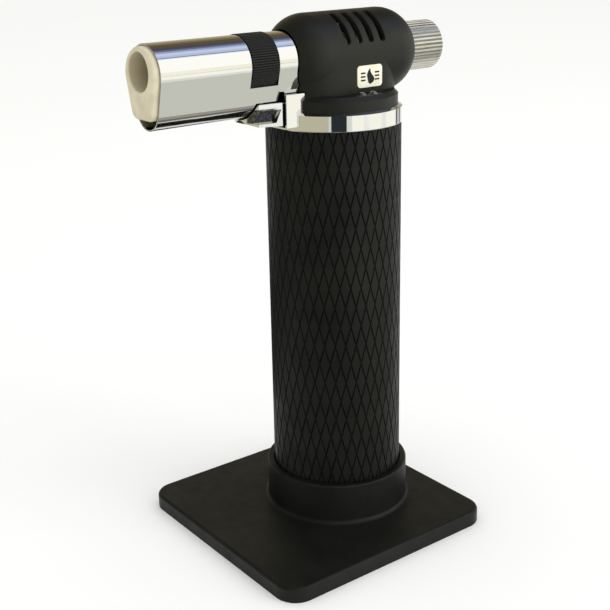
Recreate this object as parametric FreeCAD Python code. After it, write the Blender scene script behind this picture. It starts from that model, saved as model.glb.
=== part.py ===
"""Bench butane torch standing in its moulded foot.

Frame: millimetres, +Z up, the burner points along -Y, the flow knob along +Y.
Origin: where the grip's axis meets the underside of the stand.
"""
import FreeCAD, Part
import math
import os

V = FreeCAD.Vector
X_AXIS = V(1, 0, 0)
Y_AXIS = V(0, 1, 0)
Z_AXIS = V(0, 0, 1)

# ---------------------------------------------------------------- stand
PLATE_SIDE = 73.2
PLATE_T = 4.4
PLATE_CORNER_R = 6.5
PLATE_CENTRE_Y = -8.8
PLATE_EDGE_R = 0.9
PLATE_RECESS = 1.6
SOCKET_R = 21.1
SOCKET_BORE_R = 19.35
SOCKET_TOP_Z = 16.6
SOCKET_ROOT_R = 1.2

# ---------------------------------------------------------------- grip and tank
GRIP_R = 19.0
GRIP_WALL = 1.2
TANK_Z0 = PLATE_T + 0.1
TANK_FOOT_T = 1.5
TANK_R = GRIP_R - GRIP_WALL - 0.05
TANK_WALL = 1.4
TANK_FLOOR_T = 2.6
TANK_TOP_Z = 115.0
LID_PLUG_T = 6.0
LID_TOP_Z = 118.0
GRIP_TOP_Z = 119.3
FILL_BOSS_R = 6.0
FILL_BOSS_TOP_Z = 16.0
FILL_BODY_R = 3.4
FILL_FLANGE_R = 4.6
FILL_FLANGE_TOP_Z = TANK_Z0 + 1.6
LID_POCKET_R = 12.6
LID_BOSS_R = 6.8
LID_POST_R = 2.6
LID_SEAL_R = 0.75

# ---------------------------------------------------------------- collar
COLLAR_R = 19.2
COLLAR_WALL = 1.6
COLLAR_BEVEL_Z = 123.6
COLLAR_TOP_Z = 124.1
SHELF_T = 1.8
COLLAR_EDGE_R = 0.25
SHELF_INNER_R = 12.4
GUIDE_HALF_W = 7.5
GUIDE_WALL = 0.6
GUIDE_Y0 = -21.6
GUIDE_Y1 = -15.0
GUIDE_Z0 = 120.7
GUIDE_Z1 = 129.5
GUIDE_EDGE_R = 0.35
GUIDE_NOTCH_Y = -20.4
SCREW_CIRCLE_R = 14.9
HOOD_SCREW_ANGLES = (0, 180)
COLLAR_SCREW_ANGLES = (-42, 50, 130, 222)
SCREW_R = 1.1
SCREW_HEAD_R = 2.0
SCREW_HEAD_T = 1.2

# ---------------------------------------------------------------- hood
AXIS_Z = 137.6
HOOD_R = 11.7
HOOD_WALL = 1.5
HOOD_FLANGE_R = 18.0
HOOD_LEDGE_Z = 128.1
HOOD_CHAMFER = 1.1
HOOD_END_ROUND = 10.0
HOOD_FRONT_Y = -17.3
HOOD_FRONT_TANGENT_Y = -9.5
HOOD_REAR_TANGENT_Y = 15.4
HOOD_REAR_HOLE_R = 7.35
BODY_FRONT_CENTRE_Y = -6.6
BODY_REAR_CENTRE_Y = 7.1
VENT_Y = (-3.3, 0.7, 4.7, 8.7)
VENT_W = 1.75
VENT_ANGLES = (23, 71)
VENT_EDGE_R = 0.3
LABEL_CENTRE = (3.25, 132.4)
LABEL_SIZE = (8.7, 5.9)
LABEL_SEAT = 0.2
LABEL_PROUD = 0.3
PIP_R = 1.0
PIPS = ((14.4, -1.6), (14.6, 2.1))

# ---------------------------------------------------------------- burner
SHROUD_TOP_R = 7.6
SHROUD_LOW_R = 5.5
SHROUD_DROP = 8.45
SHROUD_WALL = 0.4
SHROUD_Y0 = -58.7
SHROUD_Y1 = -13.2
WINDOW_Y0 = -32.1
WINDOW_Y1 = -23.3
WINDOW_DROP = 5.5
UNDERCUT_Y = -29.7
UNDERCUT_DROP = 9.7
UNDERCUT_SLOPE = 0.5
REAR_CUT_Y = -20.9
REAR_CUT_DROP = 7.9
SHROUD_LIP_R = 0.12
CERAMIC_Y0 = -60.7
CERAMIC_Y1 = -46.5
CERAMIC_GAP = 0.15
CERAMIC_FLAT_DROP = 11.1
CERAMIC_EDGE_R = 1.3
CERAMIC_CORNER_R = 2.4
BORE_R = 4.85
BORE_RISE = 0.8
TUBE_R = 5.2
TUBE_BORE_R = 4.4
TUBE_Y0 = -46.4
PLATE_Y0 = -14.2
PLATE_END_T = 0.9
RING_R = 7.8
RING_FIT = 0.05
RING_Y0 = -31.8
RING_Y1 = -23.6
RING_RIBS = 76
RING_RIB_DEPTH = 0.2
PORT_R = 1.4
PORT_ANGLES = (250, 290)
PORT_Y = -27.7
RETAINER_R = 6.3
RETAINER_T = 0.7
JET_Y0 = -25.2
FILTER_Y0 = -22.0
HOLDER_Y0 = -24.5
HOLDER_SEAT_Y0 = -17.0
HOLDER_R = 3.0
HOLDER_FLANGE_R = 5.0

# ---------------------------------------------------------------- valve
COLUMN_Y = 6.0
COLUMN_R = 4.0
COLUMN_Z0 = 105.0
GAS_BORE_R = 1.0
VALVE_SEAL_R = 4.6
VALVE_SEAL_WIRE_R = 0.5
BARREL_R = 5.4
BARREL_Y0 = -8.0
BARREL_Y1 = 17.0
SPIGOT_R = 2.6
NEEDLE_BORE_R = 2.25
SPINDLE_BORE_R = 2.7
PACKING_BORE_R = 3.0
SPINDLE_R = 1.9
RUNNING_FIT = 0.05
NEEDLE_R = 1.0
SEAT_Y0 = 2.6
SEAT_Y1 = 4.2
GLAND_AF = 9.0
GLAND_Y1 = 20.2
KNOB_R = 6.95
KNOB_Y0 = 20.8
KNOB_Y1 = 35.6
KNOB_FLUTES = 40
KNOB_FLUTE_DEPTH = 0.45
KNOB_CHAMFER = 0.7

# ---------------------------------------------------------------- igniter and trigger
TRIGGER_HALF_W = 6.55
TRIGGER_NOSE_HALF_W = 5.45
TRIGGER_NOSE_Y = -31.4
TRIGGER_SHOULDER_Y = -29.0
TRIGGER_WAIST_Y = -22.2
TRIGGER_Z0 = 121.15
TRIGGER_TOP_Z = 127.5
TRIGGER_Y1 = -17.5
HOOK_Z0 = 122.4
HOOK_Z1 = 125.8
HOOK_DEPTH = 2.0
HOOK_Y0 = -30.2
HOOK_LENGTH = 6.2
HOOK_LEAN = 1.5
PIEZO_HALF_W = 3.4
PIEZO_Y0 = -12.6
PIEZO_Y1 = 1.2
PIEZO_Z0 = 121.0
PIEZO_Z1 = 127.4
PLUNGER_HALF_W = 2.2
PLUNGER_Y1 = -8.0
LEAD_R = 0.6
LEAD_X = 3.0
LEAD_DROP = 9.1
LEAD_HIGH_DROP = 7.2
WIRE_R = 0.35
INSULATOR_R = 1.3


def cyl(radius, start, end):
    """Round bar between two points."""
    a = V(*start)
    b = V(*end)
    return Part.makeCylinder(radius, (b - a).Length, a, b - a)


def cyl_z(radius, z0, z1, x=0.0, y=0.0):
    return cyl(radius, (x, y, z0), (x, y, z1))


def cyl_y(radius, y0, y1, x=0.0, z=AXIS_Z):
    return cyl(radius, (x, y0, z), (x, y1, z))


def cone_y(r0, r1, y0, y1, z=AXIS_Z):
    return Part.makeCone(r0, r1, y1 - y0, V(0, y0, z), Y_AXIS)


def cone_z(r0, r1, z0, z1, x=0.0, y=0.0):
    return Part.makeCone(r0, r1, z1 - z0, V(x, y, z0), Z_AXIS)


def box(x0, x1, y0, y1, z0, z1):
    return Part.makeBox(x1 - x0, y1 - y0, z1 - z0, V(x0, y0, z0))


def fuse(*solids):
    return solids[0].multiFuse(list(solids[1:])).removeSplitter()


def ring_torus(major, minor, centre, axis):
    return Part.makeTorus(major, minor, V(*centre), axis)


def polar(radius, degrees):
    a = math.radians(degrees)
    return radius * math.cos(a), radius * math.sin(a)


def prism(points, direction):
    """Extrude a closed polygon of (x, y, z) points."""
    wire = Part.makePolygon([V(*p) for p in points] + [V(*points[0])])
    return Part.Face(wire).extrude(direction)


def hex_prism_y(across_flats, y0, y1, z=AXIS_Z):
    r = across_flats / math.sqrt(3)
    corners = [polar(r, 60 * k) for k in range(6)]
    return prism([(x, y0, z + h) for x, h in corners], V(0, y1 - y0, 0))


def hex_prism_z(across_flats, z0, z1, x, y):
    r = across_flats / math.sqrt(3)
    corners = [polar(r, 60 * k) for k in range(6)]
    return prism([(x + dx, y + dy, z0) for dx, dy in corners], V(0, 0, z1 - z0))


def rounded_plate(side, corner_r, z0, z1, cy):
    h = side / 2
    plate = box(-h, h, cy - h, cy + h, z0, z1)
    uprights = [e for e in plate.Edges if abs(e.BoundBox.ZLength - (z1 - z0)) < 1e-6]
    return plate.makeFillet(corner_r, uprights)


def edges_at(shape, axis, value, tol=1e-3):
    """Edges that lie wholly in the plane axis = value."""
    low, high = axis + "Min", axis + "Max"
    return [
        e for e in shape.Edges
        if abs(getattr(e.BoundBox, low) - value) < tol
        and abs(getattr(e.BoundBox, high) - value) < tol
    ]


def teardrop(inset, y0, y1, grow=0.0):
    """Teardrop bar along Y: a large round over a small one, joined by tangents."""
    big = SHROUD_TOP_R - inset + grow
    small = SHROUD_LOW_R - inset + grow
    lean = math.asin((big - small) / SHROUD_DROP)
    low_z = AXIS_Z - SHROUD_DROP
    cx, sx = math.cos(lean), math.sin(lean)
    right_top = V(big * cx, y0, AXIS_Z - big * sx)
    left_top = V(-big * cx, y0, AXIS_Z - big * sx)
    right_low = V(small * cx, y0, low_z - small * sx)
    left_low = V(-small * cx, y0, low_z - small * sx)
    edges = [
        Part.Arc(right_top, V(0, y0, AXIS_Z + big), left_top).toShape(),
        Part.LineSegment(left_top, left_low).toShape(),
        Part.Arc(left_low, V(0, y0, low_z - small), right_low).toShape(),
        Part.LineSegment(right_low, right_top).toShape(),
    ]
    return Part.Face(Part.Wire(edges)).extrude(V(0, y1 - y0, 0))


def bent_bar(radius, points, bend):
    """Round bar along straight runs joined by tangent arcs of one radius."""
    path = []
    pts = [V(*p) for p in points]
    last = pts[0]
    for before, corner, after in zip(pts, pts[1:], pts[2:]):
        a = (before - corner).normalize()
        b = (after - corner).normalize()
        half = a.getAngle(b) / 2
        back = bend / math.tan(half)
        start = corner + a * back
        end = corner + b * back
        middle = corner + (a + b).normalize() * (bend / math.sin(half) - bend)
        path.append(Part.LineSegment(last, start).toShape())
        path.append(Part.Arc(start, middle, end).toShape())
        last = end
    path.append(Part.LineSegment(last, pts[-1]).toShape())
    first = pts[1] - pts[0]
    section = Part.Wire(Part.makeCircle(radius, pts[0], first))
    return Part.Wire(path).makePipeShell([section], True, False)


def coil(radius, wire_r, length, pitch, base, axis_turn=None):
    """Compression spring of round wire, built along +Z from its base."""
    helix = Part.makeHelix(pitch, length, radius)
    tangent = V(0, radius * 2 * math.pi, pitch)
    section = Part.Wire(Part.makeCircle(wire_r, V(radius, 0, 0), tangent))
    spring = Part.Wire(helix).makePipeShell([section], True, True)
    if axis_turn:
        spring.rotate(V(0, 0, 0), axis_turn[0], axis_turn[1])
    spring.translate(V(*base))
    return spring


def screw_z(x, y, z_head, up, length):
    """Pan-head screw with a cross slot. z_head is the head's seating face."""
    sign = 1 if up else -1
    shank = cyl(SCREW_R, (x, y, z_head), (x, y, z_head + sign * length))
    head = cyl(SCREW_HEAD_R, (x, y, z_head), (x, y, z_head - sign * SCREW_HEAD_T))
    outer = z_head - sign * SCREW_HEAD_T
    inner = outer + sign * 0.6
    z0, z1 = min(outer, inner), max(outer, inner)
    slots = [
        box(x - 1.2, x + 1.2, y - 0.25, y + 0.25, z0, z1),
        box(x - 0.25, x + 0.25, y - 1.2, y + 1.2, z0, z1),
    ]
    return fuse(shank, head).cut(fuse(*slots))


# ================================================================ stand
def stand_base():
    plate = rounded_plate(PLATE_SIDE, PLATE_CORNER_R, 0, PLATE_T, PLATE_CENTRE_Y)
    plate = plate.makeFillet(PLATE_EDGE_R, edges_at(plate, "Z", PLATE_T))
    socket = cyl_z(SOCKET_R, PLATE_T - 0.5, SOCKET_TOP_Z)
    socket = socket.makeFillet(0.5, edges_at(socket, "Z", SOCKET_TOP_Z))
    base = fuse(plate, socket)
    root = [
        e for e in edges_at(base, "Z", PLATE_T)
        if abs(e.BoundBox.XLength - 2 * SOCKET_R) < 0.01
    ]
    base = base.makeFillet(SOCKET_ROOT_R, root)
    base = base.cut(cyl_z(SOCKET_BORE_R, PLATE_T, SOCKET_TOP_Z + 1))
    return base.cut(stand_recess())


def stand_recess():
    """Shallow moulding recess under the plate, with a boss and four ribs left in it."""
    rim = 3.0
    rib_t = 2.0
    side = PLATE_SIDE - 2 * rim
    recess = rounded_plate(side, PLATE_CORNER_R - rim / 2, 0, PLATE_RECESS, PLATE_CENTRE_Y)
    recess = recess.cut(cyl_z(9.0, 0, PLATE_RECESS))
    h = PLATE_SIDE
    for along_x in (True, False):
        if along_x:
            rib = box(-h, h, -rib_t / 2, rib_t / 2, 0, PLATE_RECESS)
        else:
            rib = box(-rib_t / 2, rib_t / 2, -h, h, 0, PLATE_RECESS)
        recess = recess.cut(rib)
    return recess


# ================================================================ tank
def grip_sleeve():
    z0 = TANK_Z0 + TANK_FOOT_T
    tube = cyl_z(GRIP_R, z0, GRIP_TOP_Z)
    tube = tube.makeFillet(0.6, edges_at(tube, "Z", z0))
    return tube.cut(cyl_z(GRIP_R - GRIP_WALL, z0 - 1, GRIP_TOP_Z + 1))


def tank_shell():
    shell = cyl_z(TANK_R, TANK_Z0, TANK_TOP_Z)
    foot = cyl_z(GRIP_R - 0.3, TANK_Z0, TANK_Z0 + TANK_FOOT_T)
    foot = foot.makeChamfer(0.6, edges_at(foot, "Z", TANK_Z0))
    hollow = cyl_z(TANK_R - TANK_WALL, TANK_Z0 + TANK_FLOOR_T, TANK_TOP_Z + 1)
    boss = cyl_z(FILL_BOSS_R, TANK_Z0, FILL_BOSS_TOP_Z)
    shell = fuse(fuse(shell, foot).cut(hollow), boss)
    shell = shell.cut(cyl_z(FILL_BODY_R, TANK_Z0, FILL_BOSS_TOP_Z + 1))
    return shell.cut(cyl_z(FILL_FLANGE_R + 0.1, TANK_Z0, FILL_FLANGE_TOP_Z))


def lid_seal_z():
    return TANK_TOP_Z - LID_PLUG_T / 2


def tank_lid():
    plug_r = TANK_R - TANK_WALL - 0.05
    plug_z0 = TANK_TOP_Z - LID_PLUG_T
    lid = fuse(cyl_z(plug_r, plug_z0, TANK_TOP_Z), cyl_z(TANK_R, TANK_TOP_Z, LID_TOP_Z))
    pocket = cyl_z(LID_POCKET_R, plug_z0, plug_z0 + 3.6)
    pocket = pocket.cut(cyl_z(LID_BOSS_R, plug_z0, TANK_TOP_Z, 0, COLUMN_Y))
    groove = cyl_z(plug_r + 1, lid_seal_z() - 0.8, lid_seal_z() + 0.8)
    seal_inner = TANK_R - TANK_WALL - 2 * LID_SEAL_R
    groove = groove.cut(cyl_z(seal_inner, lid_seal_z() - 1, lid_seal_z() + 1))
    cradle = box(-PIEZO_HALF_W, PIEZO_HALF_W, PIEZO_Y0 + 0.6, PIEZO_Y1 - 0.2, LID_TOP_Z - 0.5, PIEZO_Z0)
    posts = []
    for angle in COLLAR_SCREW_ANGLES:
        x, y = polar(SCREW_CIRCLE_R, angle)
        posts.append(cyl_z(LID_POST_R, LID_TOP_Z - 0.5, COLLAR_TOP_Z - SHELF_T, x, y))
    lid = fuse(lid.cut(pocket).cut(groove), cradle, *posts)
    for angle in COLLAR_SCREW_ANGLES:
        x, y = polar(SCREW_CIRCLE_R, angle)
        lid = lid.cut(cyl_z(SCREW_R, COLLAR_TOP_Z - SHELF_T - 7.0, COLLAR_TOP_Z, x, y))
    lid = lid.cut(cyl_z(COLUMN_R, plug_z0 - 1, PIEZO_Z0 + 1, 0, COLUMN_Y))
    return lid.cut(cyl_z(VALVE_SEAL_R + VALVE_SEAL_WIRE_R, LID_TOP_Z - 1.0, LID_TOP_Z + 3.5, 0, COLUMN_Y))


def tank_lid_seal():
    centre_r = TANK_R - TANK_WALL - LID_SEAL_R
    return ring_torus(centre_r, LID_SEAL_R, (0, 0, lid_seal_z()), Z_AXIS)


# ================================================================ filling valve
FILL_Z0 = TANK_Z0 + 0.7
FILL_CHAMBER_Z0 = 9.0
FILL_CHAMBER_Z1 = 16.5
FILL_TOP_Z = 18.0
STEM_R = 1.1
STEM_HEAD_R = 1.6
STEM_HEAD_Z = (9.8, 10.8)


def filler_valve_body():
    flange = cyl_z(FILL_FLANGE_R, FILL_Z0, FILL_FLANGE_TOP_Z)
    body = fuse(flange, cyl_z(FILL_BODY_R, FILL_Z0, FILL_TOP_Z))
    body = body.cut(cyl_z(STEM_R + RUNNING_FIT, FILL_Z0 - 1, FILL_CHAMBER_Z0 + 1))
    body = body.cut(cyl_z(2.1, FILL_CHAMBER_Z0, FILL_CHAMBER_Z1))
    body = body.cut(cyl_z(0.7, FILL_CHAMBER_Z1 - 1, FILL_TOP_Z + 1))
    return body.cut(cyl_z(2.2, FILL_Z0 - 0.1, FILL_Z0 + 0.8))


def filler_seal():
    return cyl_z(1.9, FILL_CHAMBER_Z0 + 0.02, STEM_HEAD_Z[0]).cut(cyl_z(STEM_R, 0, 20))


def filler_stem():
    stem = fuse(cyl_z(STEM_R, FILL_Z0 + 0.2, STEM_HEAD_Z[1]), cyl_z(STEM_HEAD_R, *STEM_HEAD_Z))
    return stem.cut(cyl_z(0.45, FILL_Z0 - 1, FILL_CHAMBER_Z0 - 1))


def filler_spring():
    z0 = STEM_HEAD_Z[1] + 0.3
    length = FILL_CHAMBER_Z1 - 0.3 - z0
    return coil(1.45, 0.25, length, length / 5, (0, 0, z0))


def wick_tube():
    z0 = 22.0
    z1 = COLUMN_Z0 + 4.0
    return cyl_z(1.5, z0, z1, 0, COLUMN_Y).cut(cyl_z(0.8, z0, z1, 0, COLUMN_Y))


def wick_filter():
    cap = cyl_z(2.6, 19.0, 27.0, 0, COLUMN_Y)
    cap = cap.makeFillet(0.6, edges_at(cap, "Z", 19.0))
    return cap.cut(cyl_z(1.5, 22.0, 28.0, 0, COLUMN_Y))


# ================================================================ collar
def guide_block():
    """Rectangular sleeve that the trigger slides in, with eased outer edges."""
    block = box(-GUIDE_HALF_W, GUIDE_HALF_W, GUIDE_Y0, GUIDE_Y1, GUIDE_Z0, GUIDE_Z1)
    long_edges = [
        e for e in block.Edges
        if abs(e.BoundBox.YLength - (GUIDE_Y1 - GUIDE_Y0)) < 1e-6 and e.BoundBox.ZMax > GUIDE_Z0 + 1
    ]
    block = block.makeFillet(GUIDE_EDGE_R, long_edges)
    return block.makeFillet(GUIDE_EDGE_R * 0.4, edges_at(block, "Y", GUIDE_Y0))


def collar_ring():
    wall = cyl_z(COLLAR_R, GRIP_TOP_Z, COLLAR_BEVEL_Z)
    wall = wall.makeFillet(COLLAR_EDGE_R, edges_at(wall, "Z", GRIP_TOP_Z))
    bevel = cone_z(COLLAR_R, COLLAR_R - 1.0, COLLAR_BEVEL_Z, COLLAR_TOP_Z)
    shelf_z0 = COLLAR_TOP_Z - SHELF_T
    ring = fuse(wall, bevel).cut(cyl_z(COLLAR_R - COLLAR_WALL, GRIP_TOP_Z - 1, shelf_z0))
    ring = ring.cut(cyl_z(SHELF_INNER_R, shelf_z0 - 1, COLLAR_TOP_Z + 1))
    ring = fuse(ring, guide_block())
    w = GUIDE_HALF_W - GUIDE_WALL
    slot_z0 = GUIDE_Z0 + GUIDE_WALL * 0.2
    ring = ring.cut(box(-w, w, GUIDE_Y0 - 1, GUIDE_Y1 + 7.0, slot_z0, GUIDE_Z1 - GUIDE_WALL))
    ring = ring.cut(box(-w, w, GUIDE_Y0 - 1, GUIDE_NOTCH_Y, GUIDE_Z1 - 1, GUIDE_Z1 + 1))
    for angle in HOOD_SCREW_ANGLES:
        x, y = polar(SCREW_CIRCLE_R, angle)
        ring = ring.cut(cyl_z(SCREW_R, shelf_z0 - 1, COLLAR_TOP_Z + 1, x, y))
    for angle in COLLAR_SCREW_ANGLES:
        x, y = polar(SCREW_CIRCLE_R, angle)
        ring = ring.cut(cyl_z(SCREW_R, shelf_z0 - 1, COLLAR_TOP_Z + 1, x, y))
        ring = ring.cut(cyl_z(SCREW_HEAD_R, COLLAR_TOP_Z - SCREW_HEAD_T, COLLAR_TOP_Z + 1, x, y))
    return ring


def collar_screws():
    seat = COLLAR_TOP_Z - SCREW_HEAD_T
    places = [polar(SCREW_CIRCLE_R, a) for a in COLLAR_SCREW_ANGLES]
    return Part.makeCompound([screw_z(x, y, seat, False, 6.2) for x, y in places])


def hood_screws():
    seat = COLLAR_TOP_Z - SHELF_T
    places = [polar(SCREW_CIRCLE_R, a) for a in HOOD_SCREW_ANGLES]
    return Part.makeCompound([screw_z(x, y, seat, True, 5.0) for x, y in places])


# ================================================================ hood
def hood_barrel(inset):
    """Round barrel along Y with domed ends, cut flat at the front and at the knob."""
    r = HOOD_R - inset
    dome = HOOD_END_ROUND - inset
    front = HOOD_FRONT_Y + inset
    face_r = r - dome + math.sqrt(dome**2 - (HOOD_FRONT_TANGENT_Y - front) ** 2)
    rear_r = HOOD_REAR_HOLE_R - inset
    rear = HOOD_REAR_TANGENT_Y + math.sqrt(dome**2 - (rear_r - r + dome) ** 2)

    def at(y, radius):
        return V(0, y, AXIS_Z + radius)

    front_mid_angle = (math.asin((face_r - r + dome) / dome) + math.pi / 2) / 2
    rear_mid_angle = (math.asin((rear_r - r + dome) / dome) + math.pi / 2) / 2
    front_mid = at(
        HOOD_FRONT_TANGENT_Y - dome * math.cos(front_mid_angle),
        r - dome + dome * math.sin(front_mid_angle),
    )
    rear_mid = at(
        HOOD_REAR_TANGENT_Y + dome * math.cos(rear_mid_angle),
        r - dome + dome * math.sin(rear_mid_angle),
    )
    edges = [
        Part.LineSegment(at(front, 0), at(front, face_r)).toShape(),
        Part.Arc(at(front, face_r), front_mid, at(HOOD_FRONT_TANGENT_Y, r)).toShape(),
        Part.LineSegment(at(HOOD_FRONT_TANGENT_Y, r), at(HOOD_REAR_TANGENT_Y, r)).toShape(),
        Part.Arc(at(HOOD_REAR_TANGENT_Y, r), rear_mid, at(rear, rear_r)).toShape(),
        Part.LineSegment(at(rear, rear_r), at(rear, 0)).toShape(),
        Part.LineSegment(at(rear, 0), at(front, 0)).toShape(),
    ]
    face = Part.Face(Part.Wire(edges))
    return face.revolve(V(0, 0, AXIS_Z), Y_AXIS, 360)


def hood_body(inset, z0, z1):
    """Upright stadium under the barrel."""
    r = HOOD_R - inset
    body = fuse(
        cyl_z(r, z0, z1, 0, BODY_FRONT_CENTRE_Y),
        cyl_z(r, z0, z1, 0, BODY_REAR_CENTRE_Y),
        box(-r, r, BODY_FRONT_CENTRE_Y, BODY_REAR_CENTRE_Y, z0, z1),
    )
    return body.cut(box(-20, 20, -30, HOOD_FRONT_Y + inset, z0 - 1, z1 + 1))


def vent_cutter(y, side):
    """One rounded slot that follows the barrel between two angles."""
    a0, a1 = VENT_ANGLES
    inner, outer = HOOD_R - 2.5, HOOD_R + 1.0
    centre = V(0, y - VENT_W / 2, AXIS_Z)
    band = Part.makeCylinder(outer, VENT_W, centre, Y_AXIS)
    band = band.cut(Part.makeCylinder(inner, VENT_W, centre, Y_AXIS))
    reach = outer * 2
    x0, h0 = polar(reach, a0)
    x1, h1 = polar(reach, a1)
    y0 = y - VENT_W
    corners = [(0, y0, AXIS_Z), (side * x0, y0, AXIS_Z + h0), (side * x1, y0, AXIS_Z + h1)]
    slot = band.common(prism(corners, V(0, 2 * VENT_W, 0)))
    ends = []
    for angle in VENT_ANGLES:
        x, h = polar(1.0, angle)
        direction = V(side * x, 0, h)
        start = V(0, y, AXIS_Z) + direction * inner
        ends.append(Part.makeCylinder(VENT_W / 2, outer - inner, start, direction))
    return fuse(slot, *ends)


def vent_rims(shell):
    """Edges of the vent slots on the outside of the barrel."""
    rims = []
    for edge in shell.Edges:
        b = edge.BoundBox
        in_row = b.YMin > VENT_Y[0] - VENT_W and b.YMax < VENT_Y[-1] + VENT_W
        short = b.YLength < VENT_W + 0.01
        on_side = AXIS_Z + 2 < b.ZMin and b.ZMax < AXIS_Z + HOOD_R - 0.1
        if in_row and short and on_side:
            points = edge.discretize(5)
            if all(abs(math.hypot(p.x, p.z - AXIS_Z) - HOOD_R) < 0.02 for p in points):
                rims.append(edge)
    return rims


def hood():
    flange = cyl_z(HOOD_FLANGE_R, COLLAR_TOP_Z, HOOD_LEDGE_Z)
    flange = flange.makeChamfer(HOOD_CHAMFER, edges_at(flange, "Z", HOOD_LEDGE_Z))
    outside = fuse(flange, hood_body(0, COLLAR_TOP_Z, AXIS_Z), hood_barrel(0))
    for x, y in PIPS:
        pip = Part.makeSphere(PIP_R, V(x, y, HOOD_LEDGE_Z - 0.35))
        outside = fuse(outside, pip)
    inside = fuse(hood_body(HOOD_WALL, COLLAR_TOP_Z - 1, AXIS_Z), hood_barrel(HOOD_WALL))
    shell = outside.cut(inside)
    shell = shell.cut(teardrop(0, HOOD_FRONT_Y - 2, HOOD_FRONT_Y + 6, grow=0.3))
    w = GUIDE_HALF_W + 0.1
    shell = shell.cut(box(-w, w, -25, -11.0, COLLAR_TOP_Z - 1, GUIDE_Z1 + 0.1))
    shell = shell.cut(cyl_y(HOOD_REAR_HOLE_R, 18, 30))
    for y in VENT_Y:
        for side in (1, -1):
            shell = shell.cut(vent_cutter(y, side))
    shell = shell.makeFillet(VENT_EDGE_R, vent_rims(shell))
    for angle in HOOD_SCREW_ANGLES:
        x, y = polar(SCREW_CIRCLE_R, angle)
        shell = shell.cut(cyl_z(SCREW_R, COLLAR_TOP_Z - 1, COLLAR_TOP_Z + 3.2, x, y))
    return shell.cut(label_block(HOOD_R - LABEL_SEAT, HOOD_R + 2))


def label_block(x0, x1):
    cy, cz = LABEL_CENTRE
    wy, wz = LABEL_SIZE
    block = box(x0, x1, cy - wy / 2, cy + wy / 2, cz - wz / 2, cz + wz / 2)
    across = [e for e in block.Edges if abs(e.BoundBox.XLength - (x1 - x0)) < 1e-6]
    return block.makeFillet(1.0, across)


def label_plate():
    plate = label_block(HOOD_R - LABEL_SEAT, HOOD_R + LABEL_PROUD)
    return plate.makeFillet(0.15, edges_at(plate, "X", HOOD_R + LABEL_PROUD))


# ================================================================ valve
def valve_body():
    column = cyl_z(COLUMN_R, COLUMN_Z0, AXIS_Z, 0, COLUMN_Y)
    flange = cyl_z(6.0, LID_TOP_Z, LID_TOP_Z + 2.0, 0, COLUMN_Y)
    barrel = cyl_y(BARREL_R, BARREL_Y0, BARREL_Y1)
    barrel = barrel.makeChamfer(0.4, edges_at(barrel, "Y", BARREL_Y1))
    flange = flange.cut(box(-6.5, 6.5, -1, PIEZO_Y1 + 0.1, LID_TOP_Z - 1, LID_TOP_Z + 3))
    body = fuse(column, flange, barrel)
    cuts = [
        cyl_z(GAS_BORE_R, COLUMN_Z0 - 1, AXIS_Z, 0, COLUMN_Y),
        cyl_z(1.5, COLUMN_Z0 - 1, COLUMN_Z0 + 4.0, 0, COLUMN_Y),
        cyl_y(SPIGOT_R, BARREL_Y0 - 1, -3.4),
        cyl_y(0.9, -4, SEAT_Y0 + 0.5),
        cyl_y(NEEDLE_BORE_R, SEAT_Y0, 9.0),
        cyl_y(SPINDLE_BORE_R, 9.0, 14.0),
        cyl_y(PACKING_BORE_R, 13.6, BARREL_Y1 + 1),
    ]
    return body.cut(fuse(*cuts))


def valve_body_seal():
    r = VALVE_SEAL_WIRE_R
    return ring_torus(VALVE_SEAL_R, r, (0, COLUMN_Y, LID_TOP_Z - r), Z_AXIS)


def valve_nut():
    z1 = TANK_TOP_Z - LID_PLUG_T
    nut = hex_prism_z(11.0, z1 - 3.0, z1, 0, COLUMN_Y)
    return nut.cut(cyl_z(COLUMN_R, z1 - 4, z1 + 1, 0, COLUMN_Y))


def valve_seat():
    seat = cyl_y(NEEDLE_BORE_R, SEAT_Y0, SEAT_Y1)
    seat = seat.cut(cyl_y(0.55, SEAT_Y0 - 1, SEAT_Y1))
    return seat.cut(cone_y(0.55, 1.05, SEAT_Y1 - 0.8, SEAT_Y1))


def valve_needle():
    point = cone_y(0.3, 0.85, 3.0, 4.8)
    shaft = cyl_y(NEEDLE_R, 4.8, 12.4)
    guide = cyl_y(NEEDLE_BORE_R - RUNNING_FIT, 7.2, 8.3)
    return fuse(point, shaft, guide)


def valve_spindle():
    rod = cyl_y(SPINDLE_R, 9.2, 33.0)
    return rod.cut(cyl_y(NEEDLE_R + RUNNING_FIT, 9.0, 13.2))


def spindle_seal():
    r = (PACKING_BORE_R - SPINDLE_R - RUNNING_FIT) / 2 - 0.01
    return ring_torus(SPINDLE_R + RUNNING_FIT + r, r, (0, 14.2, AXIS_Z), Y_AXIS)


def gland_nut():
    nut = hex_prism_y(GLAND_AF, BARREL_Y1, GLAND_Y1)
    nut = fuse(nut, cyl_y(PACKING_BORE_R, 14.8, BARREL_Y1))
    return nut.cut(cyl_y(SPINDLE_R + RUNNING_FIT, 14, GLAND_Y1 + 1))


def fluted_outline(radius, depth, count, y):
    """Closed outline with shallow V flutes all round."""
    step = 360.0 / count
    points = []
    for k in range(count):
        for share, drop in ((0.0, 0.0), (0.45, 0.0), (0.725, depth)):
            x, h = polar(radius - drop, (k + share) * step)
            points.append((x, y, AXIS_Z + h))
    return points


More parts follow.
